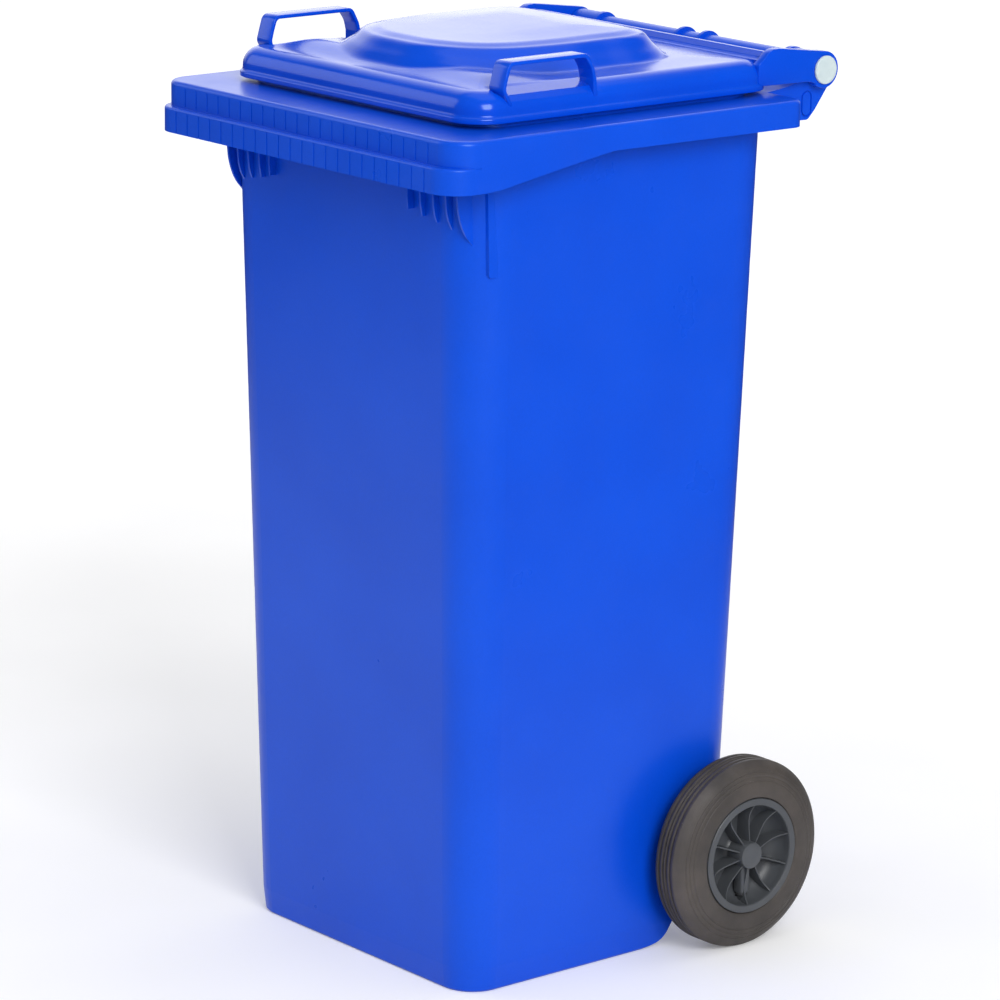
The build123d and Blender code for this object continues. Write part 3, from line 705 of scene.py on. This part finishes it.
# ---------------------------------------------------------------- stage
def make_stage():
    m, nt, b = new_mat("floor_paper")
    v = coords(nt)
    col = ramp(nt, noise(nt, v, 3.0, 2.0), [(0.3, (0.86, 0.86, 0.87)), (0.7, (0.90, 0.90, 0.91))])
    # painted dark reflection: for glossy rays only, the far floor is coloured near black, so it is dim in the
    # plastic's reflections, standing in for a studio beyond its paper
    lp = node(nt, "ShaderNodeLightPath")
    ln = node(nt, "ShaderNodeVectorMath", operation="LENGTH")
    nt.links.new(v, ln.inputs[0])
    off = node(nt, "ShaderNodeVectorMath", operation="DISTANCE")
    nt.links.new(v, off.inputs[0])
    off.inputs[1].default_value = (-0.6, -0.5, 0.0)
    far = rng(nt, off.outputs["Value"], 1.35, 2.4, 0.0, 1.0)
    painted_reflection_dim = math_node(nt, "MULTIPLY", lp.outputs["Is Glossy Ray"], far)
    mix = node(nt, "ShaderNodeMix", data_type="RGBA")
    nt.links.new(painted_reflection_dim, mix.inputs["Factor"])
    nt.links.new(col, mix.inputs["A"])
    # near-black colour of the painted dark reflection
    mix.inputs["B"].default_value = (0.05, 0.05, 0.06, 1)
    nt.links.new(mix.outputs["Result"], b.inputs["Base Color"])
    b.inputs["Roughness"].default_value = 0.9
    b.inputs["Specular IOR Level"].default_value = 0.1
    b.inputs["Emission Color"].default_value = (1, 1, 1, 1)
    # painted glow: seen by the camera, the floor emits white light, more with distance from the origin, standing in
    # for light falling on the paper
    painted_floor_glow = rng(nt, ln.outputs["Value"], 0.4, 3.5, 0.17, 0.55)
    nt.links.new(math_node(nt, "MULTIPLY", lp.outputs["Is Camera Ray"], painted_floor_glow), b.inputs["Emission Strength"])
    s = 30.0
    floor = obj_from("floor", [(-s, -s, -0.0004), (s, -s, -0.0004), (s, s, -0.0004), (-s, s, -0.0004)],
                     [(0, 1, 2, 3)], m, smooth=False)

    w = bpy.data.worlds.new("studio")
    bpy.context.scene.world = w
    w.use_nodes = True
    wt = w.node_tree
    bg = wt.nodes["Background"]
    bg.inputs["Color"].default_value = (1.0, 1.0, 1.0, 1)
    tc = wt.nodes.new("ShaderNodeTexCoord")
    lp = wt.nodes.new("ShaderNodeLightPath")
    # bright paper sweep behind the bin, dim room on the other sides
    dot = node(wt, "ShaderNodeVectorMath", operation="DOT_PRODUCT")
    wt.links.new(tc.outputs["Generated"], dot.inputs[0])
    dot.inputs[1].default_value = (-0.74, 0.62, 0.26)
    gloss = rng(wt, dot.outputs["Value"], 0.66, 0.98, 0.040, WORLD_BACK)
    isg = lp.outputs["Is Glossy Ray"]
    a = math_node(wt, "MULTIPLY", isg, gloss)
    c = math_node(wt, "MULTIPLY", math_node(wt, "SUBTRACT", 1.0, isg), WORLD_DIFF)
    tot = math_node(wt, "ADD", a, c)
    cam = math_node(wt, "MULTIPLY", lp.outputs["Is Camera Ray"], 0.97)
    nc = math_node(wt, "SUBTRACT", 1.0, lp.outputs["Is Camera Ray"])
    wt.links.new(math_node(wt, "ADD", math_node(wt, "MULTIPLY", nc, tot), cam), bg.inputs["Strength"])

    def area(name, loc, aim, size, power, color=(1, 1, 1)):
        l = bpy.data.lights.new(name, "AREA")
        l.shape = "RECTANGLE"
        l.size, l.size_y = size
        l.energy = power
        l.color = color
        o = bpy.data.objects.new(name, l)
        o.location = loc
        d = Vector(aim) - Vector(loc)
        o.rotation_euler = d.to_track_quat("-Z", "Y").to_euler()
        bpy.context.scene.collection.objects.link(o)
        return o
    area("key", (3.9, -1.3, 2.7), (0, 0, 0.4), (2.2, 2.2), 135)
    area("fill", (-3.2, -2.2, 2.2), (0, 0, 0.5), (2.0, 2.4), 22)
    area("top", (0.0, 0.6, 3.6), (0, 0, 0.5), (3.0, 3.0), 18)
    bpy.context.scene.view_settings.view_transform = "Standard"


WORLD_BACK = 1.8
WORLD_DIFF = 0.55


# ---------------------------------------------------------------- build
make_camera()
make_stage()

DEEP = (0.0004, 0.064, 0.63)
LIGHT = (0.0006, 0.077, 0.71)
M_BODY = blue_plastic("body_plastic", 0.30, 0.08, DEEP, LIGHT, (0.48, 0.75, 1.0, 1.0))
M_LID = blue_plastic("lid_plastic", 0.17, 0.03, DEEP, LIGHT, (0.7, 0.85, 1.0, 1.0))
M_PIN = pin_plastic()
M_TYRE = rubber()
M_RIM = grey_plastic("rim_plastic", (0.055, 0.060, 0.068), (0.075, 0.081, 0.090), 0.38)
M_LATCH = grey_plastic("latch_plastic", (0.030, 0.031, 0.034), (0.045, 0.046, 0.050), 0.40)
M_AXLE = steel("axle_steel", (0.62, 0.63, 0.64), 0.28)
M_SPRING = steel("spring_steel", (0.55, 0.55, 0.56), 0.25)

for name, mat in {"body": M_BODY, "lid": M_LID, "hinge_pin_left": M_PIN, "hinge_pin_right": M_PIN, "axle": M_AXLE,
                  "wheel_rim_left": M_RIM, "wheel_rim_right": M_RIM, "tyre_left": M_TYRE, "tyre_right": M_TYRE,
                  "latch_pin_left": M_LATCH, "latch_pin_right": M_LATCH, "latch_plug_left": M_LATCH,
                  "latch_plug_right": M_LATCH, "latch_spring_left": M_SPRING, "latch_spring_right": M_SPRING}.items():
    me = N[name].data
    me.materials.clear()
    me.materials.append(mat)

lid = make_lid(M_LID)
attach(lid, "lid")
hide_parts("lid")

for side, sign in (("left", -1), ("right", 1)):
    t = make_tyre("tyre_mesh_" + side, sign, M_TYRE)
    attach(t, side + "_wheel")
    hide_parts("tyre_" + side)
    r = make_rim("rim_mesh_" + side, sign, M_RIM)
    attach(r, side + "_wheel")
    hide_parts("wheel_rim_" + side)
    p = make_pin("pin_mesh_" + side, sign, M_PIN)
    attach(p, "body")
    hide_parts("hinge_pin_" + side)
